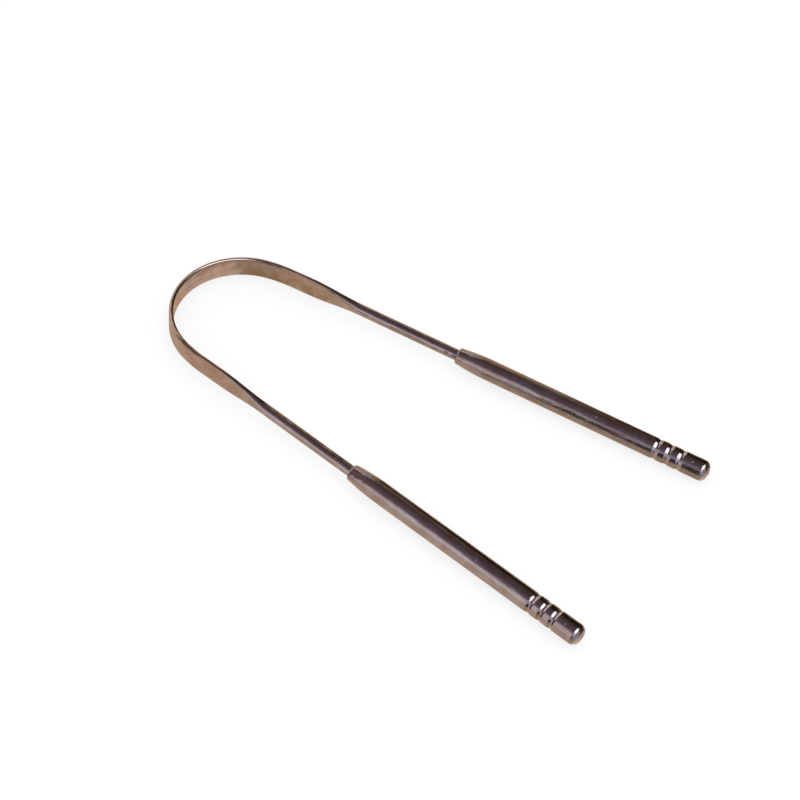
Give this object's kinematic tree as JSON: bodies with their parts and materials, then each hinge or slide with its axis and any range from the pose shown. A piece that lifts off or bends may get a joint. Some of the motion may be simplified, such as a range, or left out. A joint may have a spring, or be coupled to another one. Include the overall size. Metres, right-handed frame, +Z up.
{
  "type": "tongue scraper",
  "caption": "U-shaped steel tongue scraper: a thin upright bow rolled from round wire, whose ends are swaged into hollow tubular handles with rolled grip grooves.",
  "frame": {"origin": "under the middle of the part's length, on the surface that it lies on", "axes": "+Y from the handles to the bow, +X to the right arm as seen with the bow away from the viewer, +Z up from the surface it lies on"},
  "size_m": [0.0734, 0.1534, 0.0073],
  "materials": {
    "polished_steel_wire": "mirror-polished stainless steel, rolled",
    "polished_steel_tube": "mirror-polished stainless steel, drawn and swaged"
  },
  "bodies": {
    "root": {"scraper_bow": "polished_steel_wire", "left_handle": "polished_steel_tube", "right_handle": "polished_steel_tube"}
  },
  "joints": []
}
